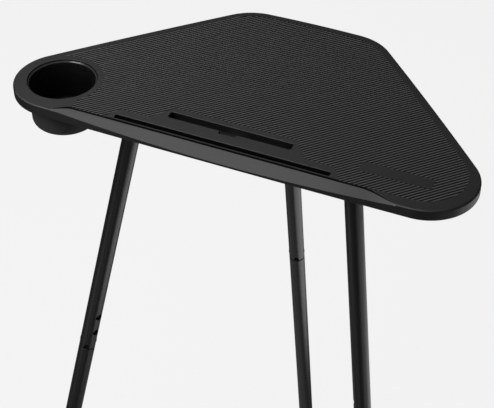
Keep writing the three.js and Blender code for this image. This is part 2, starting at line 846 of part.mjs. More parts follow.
// Rubber foot, cut off flat at the floor
function footSolid(leg) {
  const floor = -footBottomDistance(leg);
  const low = floor - footRadius * Math.hypot(leg.leanX, leg.leanY) - overrun;
  const high = floor + footHeight;
  const cap = turned([
    [0, low],
    [footRadius, low],
    [footRadius, high - footRounding],
    [footRadius - footRounding / 2, high - footRounding / 2 + seatGap],
    [footRadius - footRounding, high],
    [tubeRadius + seatGap, high],
    [tubeRadius + seatGap, floor + footSole],
    [0, floor + footSole],
  ], tubeSides).applyMatrix4(legMatrix(leg));
  const underFloor = block(deskHeight, deskHeight, -deskHeight - deskHeight / 2, -deskHeight, leg.x, leg.y);
  return solidFrom(cap).subtract(solidFrom(underFloor));
}

// Assembly
const desk = new THREE.Group();
const raised = new THREE.Group();
raised.position.z = deskHeight;
desk.add(raised);

function addPiece(parent, name, solid, material) {
  const mesh = new THREE.Mesh(geometryFrom(solid), material);
  mesh.name = name;
  parent.add(mesh);
}

addPiece(raised, 'tray', traySolid(), plasticMaterial);
addPiece(raised, 'cup_holder', cupHolderSolid(), cupMaterial);
cupScrewPlaces().forEach(({ x, y }, index) => {
  const screw = screwSolid(x, y, flangeTop - cupFlangeThickness);
  addPiece(raised, `cup_holder_screw_${index + 1}`, screw, blackSteelMaterial);
});

for (const leg of legs) {
  const legGroup = new THREE.Group();
  legMatrix(leg).decompose(legGroup.position, legGroup.quaternion, legGroup.scale);
  raised.add(legGroup);
  addPiece(raised, `${leg.name}_leg_socket`, socketSolid(leg), nylonMaterial);
  flangeScrewPlaces(leg).forEach(({ x, y }, index) => {
    const screw = screwSolid(x, y, flangeBottom);
    addPiece(raised, `${leg.name}_socket_screw_${index + 1}`, screw, blackSteelMaterial);
  });
  addPiece(legGroup, `${leg.name}_socket_nut`, nutSolid(), brassMaterial);
  addPiece(legGroup, `${leg.name}_leg_stud`, studSolid(), steelMaterial);
  addPiece(legGroup, `${leg.name}_leg_plug`, plugSolid(), nylonMaterial);
  addPiece(legGroup, `${leg.name}_upper_tube`, upperTubeSolid(leg), tubeMaterial);
  addPiece(legGroup, `${leg.name}_tube_bush`, bushSolid(leg), nylonMaterial);
  addPiece(legGroup, `${leg.name}_lower_tube`, lowerTubeSolid(leg), tubeMaterial);
  addPiece(legGroup, `${leg.name}_reducing_sleeve`, reducingSleeveSolid(leg), nylonMaterial);
  addPiece(legGroup, `${leg.name}_slider_tube`, sliderSolid(leg), steelMaterial);
  addPiece(legGroup, `${leg.name}_slider_guide`, sliderGuideSolid(leg), nylonMaterial);
  addPiece(legGroup, `${leg.name}_snap_button`, snapButtonSolid(leg), blackSteelMaterial);
  addPiece(legGroup, `${leg.name}_spring_clip`, springClipSolid(leg), steelMaterial);
  addPiece(raised, `${leg.name}_rubber_foot`, footSolid(leg), rubberMaterial);
}

// The feet and the tray set the desk's box: its middle goes over the origin
desk.updateMatrixWorld(true);
const deskBox = new THREE.Box3().setFromObject(desk, true);
desk.position.y = -(deskBox.min.y + deskBox.max.y) / 2;

export default desk;
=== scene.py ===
import math

import bmesh
import bpy
from mathutils import Euler, Matrix, Vector


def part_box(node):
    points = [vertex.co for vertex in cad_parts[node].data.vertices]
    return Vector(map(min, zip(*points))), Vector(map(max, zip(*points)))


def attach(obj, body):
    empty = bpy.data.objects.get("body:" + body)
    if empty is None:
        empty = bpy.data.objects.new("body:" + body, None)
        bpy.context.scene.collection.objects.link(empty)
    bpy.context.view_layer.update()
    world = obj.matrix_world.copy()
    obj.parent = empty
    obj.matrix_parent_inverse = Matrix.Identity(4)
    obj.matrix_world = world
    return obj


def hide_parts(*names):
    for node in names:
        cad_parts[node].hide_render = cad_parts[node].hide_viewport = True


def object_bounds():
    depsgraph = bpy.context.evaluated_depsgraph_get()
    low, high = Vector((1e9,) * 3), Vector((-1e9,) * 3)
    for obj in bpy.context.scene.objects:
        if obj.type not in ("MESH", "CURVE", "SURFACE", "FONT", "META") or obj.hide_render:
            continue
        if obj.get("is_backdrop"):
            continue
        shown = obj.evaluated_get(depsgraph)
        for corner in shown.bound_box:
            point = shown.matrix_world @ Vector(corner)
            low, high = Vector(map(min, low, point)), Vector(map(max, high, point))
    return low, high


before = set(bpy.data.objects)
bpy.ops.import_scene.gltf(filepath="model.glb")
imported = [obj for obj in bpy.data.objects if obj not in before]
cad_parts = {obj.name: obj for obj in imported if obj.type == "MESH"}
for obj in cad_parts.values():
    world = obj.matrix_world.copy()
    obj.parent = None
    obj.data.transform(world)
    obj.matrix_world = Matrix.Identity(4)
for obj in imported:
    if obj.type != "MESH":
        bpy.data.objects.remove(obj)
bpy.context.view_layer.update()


# The room: the desk stands on a pale floor, under two wide soft lamps overhead and one
# at the front left, with six dim ones low down that light the legs and the walls from
# below. The camera looks down on the wide edge of the tray from its right.
scene = bpy.context.scene
scene.view_settings.view_transform = "Standard"

tray_low, tray_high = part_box("tray")
side_bow = 0.0012
tray_top = tray_high.z
wide_edge = tray_low.y + side_bow

camera_place = (0.5164, wide_edge - 1.0462, tray_top + 0.8898)
camera_down = 39.54
camera_turn = 24.40
camera_roll = -0.14

camera_data = bpy.data.cameras.new("camera")
camera_data.sensor_width = 36
camera_data.lens = 93.85
camera = bpy.data.objects.new("camera", camera_data)
camera.location = camera_place
looking = Euler((math.radians(90 - camera_down), 0, math.radians(camera_turn))).to_matrix()
rolled = Matrix.Rotation(math.radians(camera_roll), 3, "Z")
camera.rotation_euler = (looking @ rolled).to_euler()
scene.collection.objects.link(camera)
scene.camera = camera


def soft_lamp(name, place, size, power, aim=None):
    """A rectangular lamp; without an aim it shines straight down or up at the tray's level."""
    lamp = bpy.data.lights.new(name, "AREA")
    lamp.shape = "RECTANGLE"
    lamp.size, lamp.size_y = size
    lamp.energy = power
    stand = bpy.data.objects.new(name, lamp)
    stand.location = place
    aim = Vector(aim or (*place[:2], tray_top))
    stand.rotation_euler = (aim - Vector(place)).to_track_quat("-Z", "Y").to_euler()
    stand.visible_camera = False
    scene.collection.objects.link(stand)


soft_lamp("overhead_lamp", (-0.7, -0.4, 2.7), (2.0, 1.7), 16.4)
soft_lamp("back_lamp", (-1.0, 0.975, 2.7), (1.4, 1.05), 7.1)
soft_lamp("key_lamp", (-0.9, -1.4, 2.3), (1.2, 0.6), 14, aim=(-0.1, 0, tray_top))
soft_lamp("low_near_lamp", (0.64, -0.27, 0.02), (0.6, 0.52), 0.85)
soft_lamp("low_right_lamp", (0.94, 0.56, 0.02), (1.32, 1.08), 3.7)
soft_lamp("low_far_lamp", (2.3, -0.6, 0.02), (1.2, 2.4), 6)
soft_lamp("low_left_lamp", (-1.2, -1.4, 0.02), (1.2, 0.9), 0.8)
soft_lamp("low_under_lamp", (-0.32, -0.02, 0.02), (0.8, 0.7), 0.2)
soft_lamp("low_front_lamp", (-0.05, -1.33, 0.02), (0.5, 0.34), 0.2)

room_glow = 0.05
backdrop_tone = (0.905, 0.905, 0.905, 1)
glossy_sight = 0.015


def backdrop_sight(tree):
    """How much a ray sees of the pale backdrop; glossy rays see it dimly."""
    path = tree.nodes.new("ShaderNodeLightPath")
    dimmed = tree.nodes.new("ShaderNodeMath")
    dimmed.operation = "MULTIPLY"
    dimmed.inputs[1].default_value = glossy_sight
    tree.links.new(path.outputs["Is Glossy Ray"], dimmed.inputs[0])
    sight = dimmed.outputs[0]
    for kind in ("Is Camera Ray", "Is Transmission Ray"):
        larger = tree.nodes.new("ShaderNodeMath")
        larger.operation = "MAXIMUM"
        tree.links.new(path.outputs[kind], larger.inputs[0])
        tree.links.new(sight, larger.inputs[1])
        sight = larger.outputs[0]
    return sight


world = bpy.data.worlds.new("room")
world.use_nodes = True
scene.world = world
room = world.node_tree
room.nodes.clear()
room_shades = []
for tone, strength in (((1, 1, 1, 1), room_glow), (backdrop_tone, 1)):
    shade = room.nodes.new("ShaderNodeBackground")
    shade.inputs["Color"].default_value = tone
    shade.inputs["Strength"].default_value = strength
    room_shades.append(shade)
room_mix = room.nodes.new("ShaderNodeMixShader")
room_output = room.nodes.new("ShaderNodeOutputWorld")
room.links.new(backdrop_sight(room), room_mix.inputs[0])
room.links.new(room_shades[0].outputs[0], room_mix.inputs[1])
room.links.new(room_shades[1].outputs[0], room_mix.inputs[2])
room.links.new(room_mix.outputs[0], room_output.inputs["Surface"])


class Tone:
    """One output of a finish's nodes. Sums and products of tones add Math nodes."""

    def __init__(self, finish, socket):
        self.finish = finish
        self.socket = socket

    def combined(self, operation, first, second):
        return self.finish.node("ShaderNodeMath", {"operation": operation}, {0: first, 1: second})

    def __add__(self, other):
        return self.combined("ADD", self, other)

    def __rsub__(self, other):
        return self.combined("SUBTRACT", other, self)

    def __mul__(self, other):
        return self.combined("MULTIPLY", self, other)


class Finish:
    """A surface finish: one material, built up from nodes on a principled shader."""

    def __init__(self, name, **plain):
        self.material = bpy.data.materials.new(name)
        self.material.use_nodes = True
        self.tree = self.material.node_tree
        self.shader = self.tree.nodes["Principled BSDF"]
        self.set(plain)

    def set(self, values):
        for socket, value in values.items():
            self.join(value, self.shader.inputs[socket.replace("_", " ")])

    def join(self, value, socket):
        if isinstance(value, Tone):
            self.tree.links.new(value.socket, socket)
        else:
            socket.default_value = value

    def node(self, kind, settings=None, values=None, output=0):
        made = self.tree.nodes.new(kind)
        for name, value in (settings or {}).items():
            setattr(made, name, value)
        for name, value in (values or {}).items():
            self.join(value, made.inputs[name])
        return Tone(self, made.outputs[output])

    def place(self):
        """Where a point of the piece lies, in metres."""
        return self.node("ShaderNodeTexCoord", output="Object")

    def height_share(self, start, end):
        """0 at one height above the floor, changing evenly to 1 at another."""
        height = self.node("ShaderNodeSeparateXYZ", values={0: self.place()}, output=2)
        values = {"Value": height, "From Min": start, "From Max": end}
        return self.node("ShaderNodeMapRange", {"clamp": True}, values)

    def speckle(self, scale, detail=2.0):
        """Even noise from 0 to 1; scale is in grains per metre."""
        values = {"Vector": self.place(), "Scale": scale, "Detail": detail}
        return self.node("ShaderNodeTexNoise", values=values)

    def openness(self, reach):
        """1 on open surfaces, falling to 0 deep inside slots, holes and corners."""
        occlusion = "ShaderNodeAmbientOcclusion"
        return self.node(occlusion, {"samples": 6}, {"Distance": reach}, output="AO")

    def relief(self, height, depth):
        """Shades the surface as if its height rose by the depth, in metres."""
        values = {"Height": height, "Distance": depth, "Strength": 1.0}
        self.set({"Normal": self.node("ShaderNodeBump", values=values)})

    def blend(self, share, first, second):
        """A colour between two, each given as red, green and blue or as a tone."""
        mixed = self.tree.nodes.new("ShaderNodeMix")
        mixed.data_type = "RGBA"
        self.join(share, mixed.inputs[0])
        for socket, colour in ((6, first), (7, second)):
            self.join(colour if isinstance(colour, Tone) else (*colour, 1), mixed.inputs[socket])
        return Tone(self, mixed.outputs[2])

    def mottle(self, scale, dark, light, detail=2.0):
        """A colour that wanders between two over the surface."""
        return self.blend(self.speckle(scale, detail), dark, light)

    def coat(self, piece):
        """Covers the whole piece with this finish."""
        piece.data.materials.clear()
        piece.data.materials.append(self.material)


floor_reach = 12
floor_glow_share = 0.85

floor_mesh = bmesh.new()
bmesh.ops.create_grid(floor_mesh, x_segments=1, y_segments=1, size=floor_reach)
floor_data = bpy.data.meshes.new("floor")
floor_mesh.to_mesh(floor_data)
floor = bpy.data.objects.new("floor", floor_data)
scene.collection.objects.link(floor)
floor_finish = Finish("floor_paint", Roughness=0.9)
floor_tree = floor_finish.tree
floor_sight = Tone(floor_finish, backdrop_sight(floor_tree))
floor_finish.set({"Base Color": floor_finish.blend(floor_sight, (0.1, 0.1, 0.1), (0.8, 0.8, 0.8))})
floor_glow = floor_tree.nodes.new("ShaderNodeEmission")
floor_glow.inputs["Color"].default_value = (1, 1, 1, 1)
floor_mix = floor_tree.nodes.new("ShaderNodeMixShader")
floor_finish.join(floor_sight * floor_glow_share, floor_mix.inputs[0])
floor_tree.links.new(floor_finish.shader.outputs[0], floor_mix.inputs[1])
floor_tree.links.new(floor_glow.outputs[0], floor_mix.inputs[2])
floor_tree.links.new(floor_mix.outputs[0], floor_tree.nodes["Material Output"].inputs["Surface"])
floor_finish.coat(floor)
floor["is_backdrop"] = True


# Tray: one black plastic moulding with a rounded rim. A narrow strip along the wide
# edge slopes down to the front, and the underside is hollow with a grid of ribs.
front_width = 0.744
back_width = 0.181
tray_depth = 0.3076
tray_thickness = 0.014
front_corner = 0.0607
back_corner = 0.0674
rim_round = 0.0022
rim_parts = 6
arc_step = math.radians(3)
bow_parts = 12
overrun = 0.002

tray_corners = [
    Vector((-front_width / 2, 0)),
    Vector((front_width / 2, 0)),
    Vector((back_width / 2, tray_depth)),
    Vector((-back_width / 2, tray_depth)),
]
tray_rounds = [front_corner, front_corner, back_corner, back_corner]


def drawn_in(corners, insets):
    """The corners of a shape after each side has moved inwards by its own distance."""
    sides = []
    for index, corner in enumerate(corners):
        along = (corners[(index + 1) % len(corners)] - corner).normalized()
        inwards = Vector((-along.y, along.x))
        sides.append((corner + inwards * insets[index], along))
    moved = []
    for index, (point, along) in enumerate(sides):
        before, before_along = sides[index - 1]
        share = (point - before).cross(along) / before_along.cross(along)
        moved.append(before + before_along * share)
    return moved


def corner_arcs(corners, radii):
    """Start, centre and sweep of the round at each corner of a shape."""
    arcs = []
    for index, corner in enumerate(corners):
        back = (corners[index - 1] - corner).normalized()
        ahead = (corners[(index + 1) % len(corners)] - corner).normalized()
        half = back.angle(ahead) / 2
        turn = math.copysign(math.pi - 2 * half, ahead.cross(back))
        centre = corner + (back + ahead).normalized() * radii[index] / math.sin(half)
        arcs.append((corner + back * radii[index] / math.tan(half), centre, turn))
    return arcs


def swept(bm, point, centre, angle, steps):
    """Sweeps a point round a centre on its own level; returns the last point."""
    centre = (*centre, point.co.z)
    turn = bmesh.ops.spin(bm, geom=[point], cent=centre, axis=(0, 0, 1), angle=angle, steps=steps)
    return turn["geom_last"][0]


def draw_outline(bm, corners, radii, level, bow=0.0):
    """Sweeps one point round a level outline with round corners; returns its edges."""
    before = set(bm.edges)
    arcs = corner_arcs(corners, radii)
    first = bm.verts.new((*arcs[0][0], level))
    point = first
    for index, (start, centre, turn) in enumerate(arcs):
        point = swept(bm, point, centre, turn, max(3, round(abs(turn) / arc_step)))
        goal = arcs[(index + 1) % len(arcs)][0]
        last = index + 1 == len(arcs)
        if bow:
            chord = goal - point.co.xy
            reach = (chord.length ** 2 / 4 + bow ** 2) / (2 * bow)
            inwards = Vector((-chord.y, chord.x)).normalized()
            middle = point.co.xy + chord / 2 + inwards * (reach - bow)
            point = swept(bm, point, middle, 2 * math.asin(chord.length / 2 / reach), bow_parts)
            if last:
                bmesh.ops.weld_verts(bm, targetmap={point: first})
        elif last:
            bm.edges.new((point, first))
        else:
            point = bmesh.ops.extrude_vert_indiv(bm, verts=[point])["verts"][0]
            point.co.xy = goal
    return [edge for edge in bm.edges if edge not in before]


def stacked(bm, loops):
    """Closes a pile of outlines into a solid, from the lowest to the highest."""
    for lower, upper in zip(loops, loops[1:]):
        bmesh.ops.bridge_loops(bm, edges=lower + upper)
    bmesh.ops.contextual_create(bm, geom=loops[0])
    bmesh.ops.contextual_create(bm, geom=loops[-1])
    bmesh.ops.recalc_face_normals(bm, faces=bm.faces)


def solid(bm, name, matrix=None):
    """Makes a mesh in its own place on the desk an object."""
    if matrix:
        bmesh.ops.transform(bm, matrix=matrix, verts=bm.verts)
    data = bpy.data.meshes.new(name)
    bm.to_mesh(data)
    bm.free()
    piece = bpy.data.objects.new(name, data)
    scene.collection.objects.link(piece)
    return piece


def carve(piece, tool, operation="DIFFERENCE"):
    """Cuts a tool out of a piece, joins it on, or keeps what the two share."""
    cut = piece.modifiers.new("cut", "BOOLEAN")
    cut.object = tool
    cut.operation = operation
    cut.solver = "EXACT"
    bpy.context.view_layer.update()
    shaped = piece.evaluated_get(bpy.context.evaluated_depsgraph_get())
    data = bpy.data.meshes.new_from_object(shaped)
    piece.modifiers.clear()
    piece.data = data
    data.name = piece.name
    bpy.data.objects.remove(tool)


def smooth(piece, angle=28.0):
    """Shades round surfaces smooth and keeps the corners between flat ones sharp."""
    piece.data.shade_smooth()
    piece.data.set_sharp_from_angle(angle=math.radians(angle))
    weighted = piece.modifiers.new("even_shading", "WEIGHTED_NORMAL")
    weighted.keep_sharp = True
    weighted.weight = 100


def tray_block():
    """The whole moulding before it is hollowed, with its upper and lower edges rounded."""
    bm = bmesh.new()
    loops = []
    rise = [math.pi / 2 * part / rim_parts for part in range(rim_parts + 1)]
    lower_round = rim_round - tray_thickness
    rims = [(1 - math.cos(angle), -math.sin(angle), lower_round) for angle in reversed(rise)]
    rims += [(1 - math.cos(angle), math.sin(angle), -rim_round) for angle in rise]
    for inset_share, level_share, base in rims:
        inset = rim_round * inset_share
        corners = drawn_in(tray_corners, [inset] * 4)
        radii = [radius - inset for radius in tray_rounds]
        level = base + rim_round * level_share
        loops.append(draw_outline(bm, corners, radii, level, side_bow))
    stacked(bm, loops)
    return solid(bm, "tray_moulding")


def prism(name, corners, radii, low, high, bow=0.0):
    """A straight-sided block on a round-cornered outline, between two levels."""
    bm = bmesh.new()
    loops = [draw_outline(bm, corners, radii, level, bow) for level in (low, high)]
    stacked(bm, loops)
    return solid(bm, name)


def brick(name, low, high):
    """A straight-sided block between two corners."""
    bm = bmesh.new()
    bmesh.ops.create_cube(bm, size=1)
    centre = (Vector(low) + Vector(high)) / 2
    size = Vector(high) - Vector(low)
    return solid(bm, name, Matrix.Translation(centre) @ Matrix.Diagonal((*size, 1)))


def turned(profile, steps, closed=False):
    """Spins a profile of radius and height about Z into a solid."""
    bm = bmesh.new()
    points = [bm.verts.new((radius, 0, height)) for radius, height in profile]
    lines = [bm.edges.new(pair) for pair in zip(points, points[1:])]
    if closed:
        lines.append(bm.edges.new((points[-1], points[0])))
    bmesh.ops.spin(
        bm, geom=points + lines, cent=(0, 0, 0), axis=(0, 0, 1), angle=2 * math.pi,
        steps=steps, use_merge=True,
    )
    bmesh.ops.remove_doubles(bm, verts=bm.verts, dist=1e-6)
    bmesh.ops.recalc_face_normals(bm, faces=bm.faces)
    return bm


def rod(radius, low, high, steps):
    """A round bar on Z between two levels."""
    return turned([(0, low), (radius, low), (radius, high), (0, high)], steps)


def arc(centre, radius, start, end, parts=5):
    """Points of an arc in a profile, between two angles in degrees."""
    points = []
    for part in range(parts + 1):
        angle = math.radians(start + (end - start) * part / parts)
        across, up = radius * math.cos(angle), radius * math.sin(angle)
        points.append((centre[0] + across, centre[1] + up))
    return points


# The hollow underside: what stays standing in it is cut out of the hollow first
skin = 0.0032
rim_wall = 0.0035
front_band = 0.0165
rib_width = 0.0026
rib_pitch = 0.068
rib_recess = 0.002
under = -tray_thickness

cup_centre = Vector((-0.2362, 0.0631))
cup_place = Matrix.Translation((*cup_centre, 0))
cup_hole = 0.0432
cup_collar = 0.010
collar_facets = 120

hollow = prism(
    "hollow",
    drawn_in(tray_corners, [front_band, rim_wall, rim_wall, rim_wall]),
    [radius - rim_wall for radius in tray_rounds],
    under - overrun,
    -skin,
    side_bow,
)
columns = int(front_width / 2 / rib_pitch)
for column in range(-columns, columns + 1):
    x = column * rib_pitch
    low = (x - rib_width / 2, -overrun, under + rib_recess)
    carve(hollow, brick("rib", low, (x + rib_width / 2, tray_depth + overrun, 0)))
row = rib_pitch
while row < tray_depth:
    low = (-front_width / 2, row - rib_width / 2, under + rib_recess)
    carve(hollow, brick("rib", low, (front_width / 2, row + rib_width / 2, 0)))
    row += rib_pitch

# Pads that the leg sockets are screwed to, troughs under the slots, and the cup's collar
slot_centre = -0.0025
slot_depth = 0.010
slot_floor = 0.0025
slot_wall = 0.003
tablet_slot = (0.274, 0.0072, 0.0212)
phone_slot = (0.1574, 0.0116, 0.0504)
notch_width = 0.021
notch_reach = 0.005
notch = (notch_width, 2 * notch_reach, phone_slot[2] - phone_slot[1] / 2)

legs = {
    "left": {"x": -0.13637, "y": 0.082, "lean": (-0.17, -0.196), "joint": 0.410, "holes": -18},
    "right": {"x": 0.13637, "y": 0.082, "lean": (0.17, -0.196), "joint": 0.410, "holes": 198},
    "rear": {"x": 0, "y": 0.2109, "lean": (0, 0.157), "joint": 0.378, "holes": 162},
}
seat_gap = 0.0003
flange_top = under - seat_gap
flange_length = 0.066
flange_width = 0.052


def flange_centre(leg):
    lean_x, lean_y = leg["lean"]
    return Vector((leg["x"] - lean_x * flange_top, leg["y"] - lean_y * flange_top))


def keep_block(name, centre, length, width, low):
    """Leaves a block of plastic with a wall's thickness all round it in the hollow."""
    half = Vector((length / 2 + slot_wall, width / 2 + slot_wall))
    carve(hollow, brick(name, (*(centre - half), low), (*(centre + half), 0)))


for leg in legs.values():
    keep_block("pad", flange_centre(leg), flange_length, flange_width, under - 2 * overrun)
for length, width, middle in (tablet_slot, phone_slot, notch):
    centre = Vector((slot_centre, middle))
    keep_block("trough", centre, length, width, -slot_depth - slot_floor)
collar = rod(cup_hole + cup_collar, under - 2 * overrun, 0, collar_facets)
carve(hollow, solid(collar, "collar", cup_place))

tray = tray_block()
carve(tray, hollow)

# Slots for a tablet and a telephone, with softened edges, and the notch for a cable
slot_round = 0.0026
slot_lip = 0.0006
slot_lip_parts = 4
notch_round = 0.002


def bar_corners(length, width, centre):
    """The corners of a rectangle round its centre, anticlockwise from the near left one."""
    half_length = length / 2
    half_width = width / 2
    return [
        centre + Vector((-half_length, -half_width)),
        centre + Vector((half_length, -half_width)),
        centre + Vector((half_length, half_width)),
        centre + Vector((-half_length, half_width)),
    ]


def slot_tool(length, width, middle, radius):
    """A round-cornered bar that flares out at the tray's top to leave a soft edge."""
    bm = bmesh.new()
    parts = [(0, -slot_depth)]
    for part in range(slot_lip_parts + 1):
        angle = math.pi / 2 * part / slot_lip_parts
        parts.append((slot_lip * (1 - math.cos(angle)), -slot_lip * (1 - math.sin(angle))))
    parts.append((slot_lip, overrun))
    loops = []
    for grow, level in parts:
        centre = Vector((slot_centre, middle))
        corners = bar_corners(length + 2 * grow, width + 2 * grow, centre)
        loops.append(draw_outline(bm, corners, [radius + grow] * 4, level))
    stacked(bm, loops)
    return solid(bm, "slot_tool")


carve(tray, slot_tool(*tablet_slot, slot_round))
carve(tray, slot_tool(*notch, notch_round))
carve(tray, slot_tool(*phone_slot, slot_round))

# The cup hole, with a rounded edge
hole_lip = 0.0005
cup_facets = 128
hole_profile = [(0, under - overrun), (cup_hole, under - overrun)]
hole_profile += arc((cup_hole + hole_lip, -hole_lip), hole_lip, 180, 90, 6)
hole_profile += [(cup_hole + hole_lip, overrun), (0, overrun)]
carve(tray, solid(turned(hole_profile, cup_facets), "hole_tool", cup_place))

# The sunken grip field: inside the rim, outside the ring round the cup, and round the
# smooth island that holds the slots
grip_margin = 0.010
grip_front = 0.0158
grip_left_end = -0.196
grip_sink = 0.0012
bare_plate = (0.086, 0.018, Vector((0.203, 0.050)))
plate_round = 0.0015
cup_ring = 0.0078
island = [
    (-0.1590, 0.0), (0.1575, 0.0), (0.1335, 0.0356), (0.0965, 0.0356),
    (0.0762, 0.0648), (-0.0805, 0.0648), (-0.1008, 0.0356), (-0.1395, 0.0356),
]
island_rounds = [0.001, 0.001, 0.005, 0.004, 0.006, 0.006, 0.004, 0.005]


def grip_shape(grow):
    """The grip field as a solid, made wider all round by a small amount."""
    inset = grip_margin - grow
    field = prism(
        "grip_shape",
        drawn_in(tray_corners, [grip_front - grow, inset, inset, inset]),
        [radius - inset for radius in tray_rounds],
        -grip_sink,
        overrun,
        side_bow,
    )
    low, high = -2 * overrun, 2 * overrun
    ring = rod(cup_hole + cup_ring - grow, low, high, cup_facets)
    carve(field, solid(ring, "ring_tool", cup_place))
    corners = drawn_in([Vector(corner) for corner in island], [grow] * len(island))
    carve(field, prism("island_tool", corners, island_rounds, low, high))
    plate = bar_corners(bare_plate[0] - 2 * grow, bare_plate[1] - 2 * grow, bare_plate[2])
    carve(field, prism("plate_tool", plate, [plate_round] * 4, low, high))
    left_end = (grip_left_end - grow, cup_centre.y, high)
    carve(field, brick("left_end", (cup_centre.x, -overrun, low), left_end))
    return field


carve(tray, grip_shape(0))

# The sloping strip: a lens that is deepest at the middle, whose upper edge sweeps out
# to the tray's edge at both tips and has a fine groove along it. Its surface is matt,
# and its colour is painted lighter as a painted highlight, most of all at the left tip.
strip_width = 0.0154
strip_drop = 0.0095
strip_step = 0.0014
strip_groove = 0.0012
strip_groove_tip = 0.0001
strip_groove_depth = 1.5
strip_tip = 0.0009
strip_middle = 0.012
strip_half = 0.228
strip_left = (-0.223, 0.028)
strip_right = (0.224, 0.050)
strip_parts = 120

# Which faces belong to the strip, and how its matt finish and painted highlight fade from the left
# tip to the right.
matt_highlight_upward = 0.7
matt_highlight_level = -0.0003
matt_highlight_front = 0.0012
matt_highlight_fade = 0.19
matt_highlight_loss = 0.82


def ease(value, start, end):
    """0 before the start and 1 after the end, with a soft change between them."""
    share = min(1, max(0, (value - start) / (end - start)))
    return share * share * (3 - 2 * share)


def strip_tool():
    """What the strip takes off the tray's edge, as a row of sections from left to right."""
    bm = bmesh.new()
    loops = []
    outside = -side_bow - overrun
    for part in range(strip_parts + 1):
        x = strip_left[0] + (strip_right[0] - strip_left[0]) * part / strip_parts
        shown = ease(x, strip_left[0], sum(strip_left))
        shown = shown * (1 - ease(x, strip_right[0] - strip_right[1], strip_right[0]))
        top = strip_tip + (strip_width - strip_tip) * shown
        drop = max(strip_tip, strip_drop * (1 - ((x - strip_middle) / strip_half) ** 2))
        step = strip_step * shown
        slope_end = -step - (drop - step) * (top - outside) / top
        groove = strip_groove_tip + (strip_groove - strip_groove_tip) * shown
        bottom = -step - strip_groove_depth * groove
        corners = [
            (top, bottom), (top - groove, bottom), (top - groove, -step - groove / 2),
            (outside, slope_end), (outside, overrun), (top, overrun),
        ]
        ring = [bm.verts.new((x, y, z)) for y, z in corners]
        loops.append([bm.edges.new(pair) for pair in zip(ring, ring[1:] + ring[:1])])
    stacked(bm, loops)
    return solid(bm, "strip_tool")


def on_strip(face):
    """Whether a face lies on the strip's slope, below the tray's top."""
    slopes = face.normal.z > matt_highlight_upward and face.center.z < matt_highlight_level
    return slopes and matt_highlight_front < face.center.y < strip_width


carve(tray, strip_tool())
strip_matt_and_highlight = tray.data.attributes.new("strip_matt_and_highlight", "FLOAT", "FACE")
for face in tray.data.polygons:
    if on_strip(face):
        along = (face.center.x - strip_left[0]) / matt_highlight_fade
        strip_matt_and_highlight.data[face.index].value = 1 - matt_highlight_loss * min(1, max(0, along))

tray_place = Matrix.Translation((0, wide_edge, tray_top))
tray.data.transform(tray_place)
smooth(tray)
tray_finish = Finish("moulded_black_plastic", Specular_IOR_Level=0.6)
attribute = {"attribute_name": "strip_matt_and_highlight"}
strip_matt_and_highlight_share = tray_finish.node("ShaderNodeAttribute", attribute, output="Fac")
tray_finish.set({"Roughness": strip_matt_and_highlight_share * 0.4 + 0.36})
grain = tray_finish.speckle(2600, 3)
smooth_plain = tray_finish.mottle(18, (0.018, 0.018, 0.0185), (0.022, 0.022, 0.0225))
# Painted highlight: the strip's colour is painted far lighter than the rest of the plastic, most
# of all at the left tip, for the light its slope catches.
strip_painted_highlight = tray_finish.mottle(60, (0.110, 0.110, 0.1115), (0.122, 0.122, 0.1235))
tray_plain_and_strip_highlight = tray_finish.blend(strip_matt_and_highlight_share, smooth_plain, strip_painted_highlight)
# Painted shade: the plastic's colour falls to near black deep in slots, holes, grooves and
# corners, where shade falls.
tray_open_for_painted_shade = tray_finish.openness(0.012)
tray_colour = tray_finish.blend(tray_open_for_painted_shade * tray_open_for_painted_shade, (0.001, 0.001, 0.001), tray_plain_and_strip_highlight)
tray_finish.set({"Base Color": tray_colour})
tray_finish.relief(grain, 0.00003)
tray_finish.coat(tray)
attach(tray, "desk_top")
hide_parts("tray")


# Grip ribs: fine straight ribs moulded into the sunken field, so that things don't
# slide off. They run parallel to the left side of the tray.
grip_pitch = 0.00407
grip_direction = math.radians(47.4)
grip_profile = [
    (0.0, -0.00095), (0.0018, -0.00095), (0.0023, -0.0002), (0.00275, -0.00003),
    (0.0032, -0.00003), (0.00365, -0.0002),
]
grip_floor = -0.00135
grip_across = (-0.215, 0.275)
grip_along = (-0.215, 0.300)
grip_overlap = 0.00005
grip_floor_trim = 0.0001
grip_corner = 50
crest_foot = 0.0006
crest_top = 0.00008


def extruded(outline, reach):
    """Draws a flat outline out along a line into a solid."""
    bm = bmesh.new()
    end = bm.faces.new([bm.verts.new(point) for point in outline])
    far = bmesh.ops.extrude_face_region(bm, geom=[end])
    far_verts = [item for item in far["geom"] if isinstance(item, bmesh.types.BMVert)]
    bmesh.ops.translate(bm, vec=reach, verts=far_verts)
    bmesh.ops.recalc_face_normals(bm, faces=bm.faces)
    return bm


def grip_sheet():
    """A sheet of ribs that covers more than the field."""
    section = []
    for rib in range(int((grip_across[1] - grip_across[0]) / grip_pitch)):
        for across, level in grip_profile:
            section.append((grip_along[0], grip_across[0] + rib * grip_pitch + across, level))
    section.append((grip_along[0], section[-1][1], grip_floor))
    section.append((grip_along[0], section[0][1], grip_floor))
    sheet = extruded(section, (grip_along[1] - grip_along[0], 0, 0))
    return solid(sheet, "grip_ribs", Matrix.Rotation(grip_direction, 4, "Z"))


grip = grip_sheet()
grip_bounds = grip_shape(grip_overlap)
for vertex in grip_bounds.data.vertices:
    if vertex.co.z < 0:
        vertex.co.z = grip_floor + grip_floor_trim
carve(grip, grip_bounds, "INTERSECT")
grip.data.transform(tray_place)
smooth(grip, grip_corner)
grip_finish = Finish("grip_ribs_plastic")
